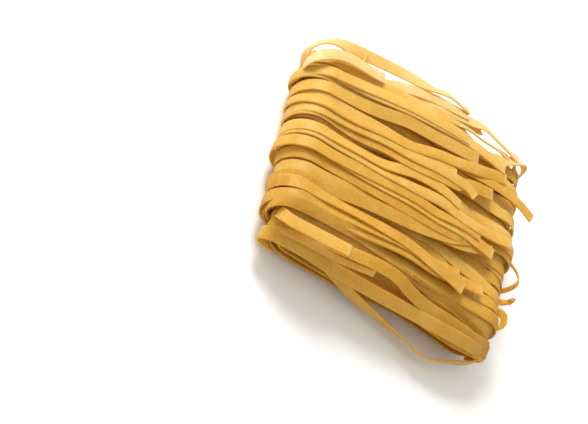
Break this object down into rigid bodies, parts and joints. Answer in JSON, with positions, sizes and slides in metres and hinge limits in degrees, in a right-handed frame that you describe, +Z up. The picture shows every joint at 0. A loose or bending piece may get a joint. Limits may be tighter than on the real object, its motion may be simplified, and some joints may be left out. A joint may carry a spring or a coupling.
{
  "type": "bundle of dried flat noodles",
  "caption": "Flat block of long dried ribbon noodles, wound side by side round two folds, with staggered cut ends on top and a few loose loops at its edges.",
  "frame": {"origin": "on the surface that the bundle rests on, below the middle of its outline", "axes": "+X along the strands from the left fold towards the cut ends, +Y across the strands to the looser long edge, +Z up through the face with the cut ends"},
  "size_m": [0.0924, 0.0878, 0.0231],
  "materials": {
    "dried_noodle": "satin"
  },
  "bodies": {
    "root": {"noodle_bundle": "dried_noodle"}
  },
  "joints": []
}
